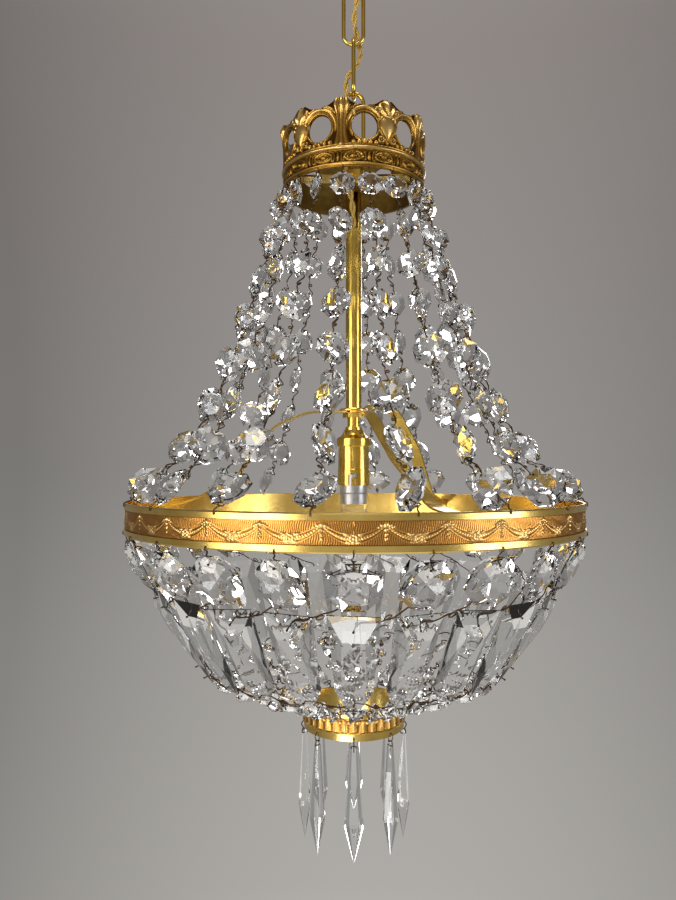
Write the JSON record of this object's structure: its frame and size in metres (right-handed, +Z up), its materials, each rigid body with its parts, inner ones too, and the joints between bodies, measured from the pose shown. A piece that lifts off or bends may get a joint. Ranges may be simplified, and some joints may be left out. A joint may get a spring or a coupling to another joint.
{
  "type": "crystal basket chandelier",
  "caption": "Empire basket chandelier: gilt crown, crystal strands to a garland hoop, prism basket, icicle drops, one lampholder on a rod and chain.",
  "frame": {"origin": "middle of the ceiling plate's upper face, on the ceiling", "axes": "+Z up along the chain and rod; the side usually seen faces -Y"},
  "size_m": [0.352, 0.352, 0.7358],
  "materials": {
    "lacquered_brass": "lacquered satin brass",
    "polished_brass": "polished brass sheet",
    "copper_gilt": "stamped, copper-toned gilt",
    "antique_gilt": "antique gilt with dark patina",
    "gold_silk_flex": "woven gold silk sleeve",
    "porcelain": "glazed porcelain",
    "bulb_aluminium": "rolled aluminium",
    "bulb_glass": "clear glass",
    "bronze_wire": "dark bronzed brass wire",
    "lead_crystal": "clear cut lead crystal"
  },
  "bodies": {
    "ceiling": {"ceiling_plate": "lacquered_brass", "ceiling_hook": "lacquered_brass", "canopy_cup": "lacquered_brass", "canopy_collar": "lacquered_brass", "ceiling_flex": "gold_silk_flex"},
    "link_1": {"chain_link_1": "lacquered_brass", "chain_flex_1": "gold_silk_flex"},
    "link_2": {"chain_link_2": "lacquered_brass", "chain_flex_2": "gold_silk_flex"},
    "link_3": {"chain_link_3": "lacquered_brass"},
    "fixture": {"top_loop": "lacquered_brass", "rod_tube": "lacquered_brass", "rod_flex": "gold_silk_flex", "rod_nuts": "lacquered_brass", "crown": "antique_gilt", "crown_bridge": "lacquered_brass", "hub_disc": "lacquered_brass", "arm_1": "lacquered_brass", "arm_2": "lacquered_brass", "arm_3": "lacquered_brass", "arm_rivets": "lacquered_brass", "main_hoop": "polished_brass", "main_frieze": "copper_gilt", "bottom_ring": "copper_gilt", "holder_cap": "lacquered_brass", "holder_collar": "lacquered_brass", "holder_body": "lacquered_brass", "holder_insulator": "porcelain", "crystal_pins": "bronze_wire", "basket_octagons": "lead_crystal", "basket_plaques": "lead_crystal", "basket_beads": "lead_crystal", "strand_01": "lead_crystal", "strand_02": "lead_crystal", "strand_03": "lead_crystal", "strand_04": "lead_crystal", "strand_05": "lead_crystal", "strand_06": "lead_crystal", "strand_07": "lead_crystal", "strand_08": "lead_crystal", "strand_09": "lead_crystal", "strand_10": "lead_crystal", "strand_11": "lead_crystal", "strand_12": "lead_crystal", "strand_13": "lead_crystal", "strand_14": "lead_crystal", "strand_15": "lead_crystal", "strand_16": "lead_crystal", "strand_17": "lead_crystal", "strand_18": "lead_crystal"},
    "bulb": {"bulb_cap": "bulb_aluminium", "bulb_glass": "bulb_glass"},
    "spear_1_drop": {"spear_1": "lead_crystal"},
    "spear_2_drop": {"spear_2": "lead_crystal"},
    "spear_3_drop": {"spear_3": "lead_crystal"},
    "spear_4_drop": {"spear_4": "lead_crystal"},
    "spear_5_drop": {"spear_5": "lead_crystal"},
    "spear_6_drop": {"spear_6": "lead_crystal"},
    "spear_7_drop": {"spear_7": "lead_crystal"},
    "spear_8_drop": {"spear_8": "lead_crystal"}
  },
  "joints": [
    {"name": "hook_swing", "type": "hinge", "parent": "ceiling", "child": "link_1", "pos_m": [0, 0, -0.0641], "axis": [0, 1, 0], "range_deg": [-25, 25], "deforming": ["ceiling_flex"]},
    {"name": "link_1_swing", "type": "hinge", "parent": "link_1", "child": "link_2", "pos_m": [0, 0, -0.107], "axis": [1, 0, 0], "range_deg": [-25, 25], "deforming": ["chain_flex_1"]},
    {"name": "link_2_swing", "type": "hinge", "parent": "link_2", "child": "link_3", "pos_m": [0, 0, -0.1503], "axis": [0, 1, 0], "range_deg": [-25, 25], "deforming": ["chain_flex_2"]},
    {"name": "link_3_swing", "type": "hinge", "parent": "link_3", "child": "fixture", "pos_m": [0, 0, -0.1936], "axis": [1, 0, 0], "range_deg": [-25, 25], "deforming": ["rod_flex"]},
    {"name": "bulb_twist", "type": "hinge", "parent": "fixture", "child": "bulb", "pos_m": [0, 0, -0.4529], "axis": [0, 0, 1], "range_deg": [-20, 0]},
    {"name": "spear_1_swing", "type": "hinge", "parent": "fixture", "child": "spear_1_drop", "pos_m": [0, -0.0384, -0.6475], "axis": [-1, 0, 0], "range_deg": [-14, 60]},
    {"name": "spear_2_swing", "type": "hinge", "parent": "fixture", "child": "spear_2_drop", "pos_m": [0.02715, -0.02715, -0.6475], "axis": [-0.7071, -0.7071, 0], "range_deg": [-14, 60]},
    {"name": "spear_3_swing", "type": "hinge", "parent": "fixture", "child": "spear_3_drop", "pos_m": [0.0384, 0, -0.6475], "axis": [0, -1, 0], "range_deg": [-14, 60]},
    {"name": "spear_4_swing", "type": "hinge", "parent": "fixture", "child": "spear_4_drop", "pos_m": [0.02715, 0.02715, -0.6475], "axis": [0.7071, -0.7071, 0], "range_deg": [-14, 60]},
    {"name": "spear_5_swing", "type": "hinge", "parent": "fixture", "child": "spear_5_drop", "pos_m": [0, 0.0384, -0.6475], "axis": [1, 0, 0], "range_deg": [-14, 60]},
    {"name": "spear_6_swing", "type": "hinge", "parent": "fixture", "child": "spear_6_drop", "pos_m": [-0.02715, 0.02715, -0.6475], "axis": [0.7071, 0.7071, 0], "range_deg": [-14, 60]},
    {"name": "spear_7_swing", "type": "hinge", "parent": "fixture", "child": "spear_7_drop", "pos_m": [-0.0384, 0, -0.6475], "axis": [0, 1, 0], "range_deg": [-14, 60]},
    {"name": "spear_8_swing", "type": "hinge", "parent": "fixture", "child": "spear_8_drop", "pos_m": [-0.02715, -0.02715, -0.6475], "axis": [-0.7071, 0.7071, 0], "range_deg": [-14, 60]}
  ]
}
